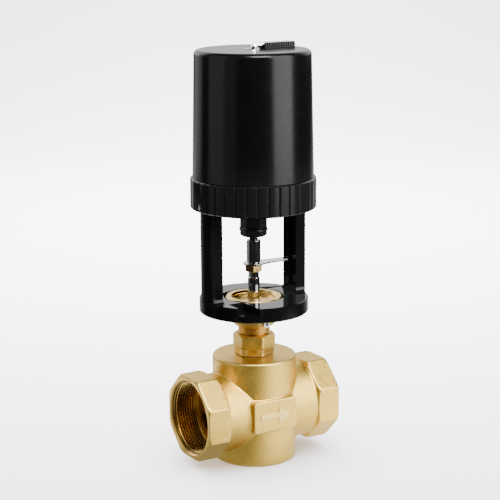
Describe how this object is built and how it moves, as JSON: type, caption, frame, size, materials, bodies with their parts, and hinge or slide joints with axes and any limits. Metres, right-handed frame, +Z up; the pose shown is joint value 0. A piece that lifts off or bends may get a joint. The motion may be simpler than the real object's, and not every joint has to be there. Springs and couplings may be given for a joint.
{
  "type": "motorised globe valve",
  "caption": "Threaded brass two-way globe valve with a black electric linear actuator on a two-pillar yoke; a geared lead screw lifts the stem.",
  "frame": {"origin": "middle of the valve's flat underside, on the stem axis", "axes": "+Z up along the stem towards the actuator, X along the pipe with the inlet at -X, -Y the side with the raised pad"},
  "size_m": [0.125, 0.1178, 0.3406],
  "materials": {
    "cast_brass": "sand-cast and blasted, fine matte grain",
    "turned_brass": "turned, fine lathe lines",
    "polished_brass": "polished",
    "gear_brass": "cut teeth, light oil",
    "chrome_steel": "polished",
    "polished_steel": "ground",
    "zinc_steel": "zinc plated sheet",
    "motor_steel": "drawn steel can",
    "black_oxide": "black oxide over machined steel",
    "black_coat": "satin black powder coat",
    "black_plastic": "satin moulded plastic",
    "dark_bearing": "filled bearing plastic",
    "seal_rubber": "moulded",
    "fibre_gasket": "pressed fibre",
    "ptfe": "waxy white",
    "copper_winding": "enamelled wire",
    "board_green": "solder mask",
    "terminal_green": "moulded",
    "capacitor_blue": "shrink sleeve",
    "transformer_core": "taped winding",
    "relay_plastic": "moulded",
    "switch_black": "moulded",
    "button_red": "moulded"
  },
  "bodies": {
    "valve": {"valve_body": "cast_brass", "bottom_cap": "cast_brass", "bottom_seal": "seal_rubber", "seat_ring": "polished_steel", "bonnet": "turned_brass", "bonnet_gasket": "fibre_gasket", "stem_packing": "ptfe", "gland_bush": "turned_brass", "mount_collar": "turned_brass", "collar_screw": "chrome_steel", "ring_nut": "polished_brass"},
    "actuator": {"yoke": "black_coat", "housing_ring": "black_plastic", "ring_screws": "chrome_steel", "guide_bush": "dark_bearing", "cover_seal": "seal_rubber", "lower_spacers": "zinc_steel", "lower_plate": "zinc_steel", "upper_spacers": "zinc_steel", "upper_plate": "zinc_steel", "idler_axle": "polished_steel", "motor_can": "motor_steel", "motor_stator": "copper_winding", "board_posts": "zinc_steel", "circuit_board": "board_green", "terminal_block": "terminal_green", "capacitor": "capacitor_blue", "transformer": "transformer_core", "relays": "relay_plastic", "switch_low": "switch_black", "switch_high": "switch_black", "cable_gland": "black_plastic", "gland_washer": "seal_rubber", "gland_cap": "black_plastic"},
    "spindle": {"spindle_hex": "black_oxide", "circlip": "black_oxide", "coupler": "chrome_steel", "pointer": "polished_steel", "lock_nut": "polished_brass", "valve_stem": "chrome_steel", "valve_plug": "polished_steel", "plug_seal": "ptfe", "plug_nut": "polished_steel", "trip_flag": "zinc_steel"},
    "drive": {"lead_screw": "polished_steel", "drive_gear": "gear_brass", "override_shaft": "polished_steel"},
    "idler": {"idler_gear": "gear_brass"},
    "rotor": {"motor_rotor": "motor_steel", "motor_pinion": "gear_brass"},
    "cover": {"cover": "black_plastic", "key_clip": "black_plastic", "key_bush": "chrome_steel"},
    "key": {"hex_key": "chrome_steel"},
    "low_button": {"button_low": "button_red"},
    "high_button": {"button_high": "button_red"}
  },
  "joints": [
    {"name": "actuator_swivel", "type": "hinge", "parent": "valve", "child": "actuator", "pos_m": [0, 0, 0.13], "axis": [0, 0, 1], "continuous": true},
    {"name": "lead_screw_turn", "type": "hinge", "parent": "actuator", "child": "drive", "pos_m": [0, 0, 0.25], "axis": [0, 0, -1], "range_deg": [0, 1440]},
    {"name": "spindle_lift", "type": "slide", "parent": "actuator", "child": "spindle", "axis": [0, 0, 1], "range_m": [0, 0.016]},
    {"name": "idler_turn", "type": "hinge", "parent": "actuator", "child": "idler", "pos_m": [-0.02556, -0.0093, 0.262], "axis": [0, 0, -1], "range_deg": [-5556.3, 0]},
    {"name": "rotor_turn", "type": "hinge", "parent": "actuator", "child": "rotor", "pos_m": [-0.02269, 0.01049, 0.285], "axis": [0, 0, -1], "range_deg": [0, 14286.4]},
    {"name": "cover_lift", "type": "slide", "parent": "actuator", "child": "cover", "axis": [0, 0, 1], "range_m": [0, 0.12]},
    {"name": "key_pull", "type": "slide", "parent": "cover", "child": "key", "axis": [0, 0, 1], "range_m": [0, 0.03]},
    {"name": "low_button_press", "type": "slide", "parent": "actuator", "child": "low_button", "axis": [0, 0, -1], "range_m": [0, 0.0012], "stiffness_N_per_m": 300, "springref_m": -0.001},
    {"name": "high_button_press", "type": "slide", "parent": "actuator", "child": "high_button", "axis": [0, 0, 1], "range_m": [0, 0.0012], "stiffness_N_per_m": 300, "springref_m": -0.001}
  ],
  "couplings": [
    {"joint": "spindle_lift", "follows": "lead_screw_turn", "m_per_rad": 0.00063662},
    {"joint": "idler_turn", "follows": "lead_screw_turn", "ratio": -3.8571},
    {"joint": "rotor_turn", "follows": "lead_screw_turn", "ratio": 9.9184}
  ]
}
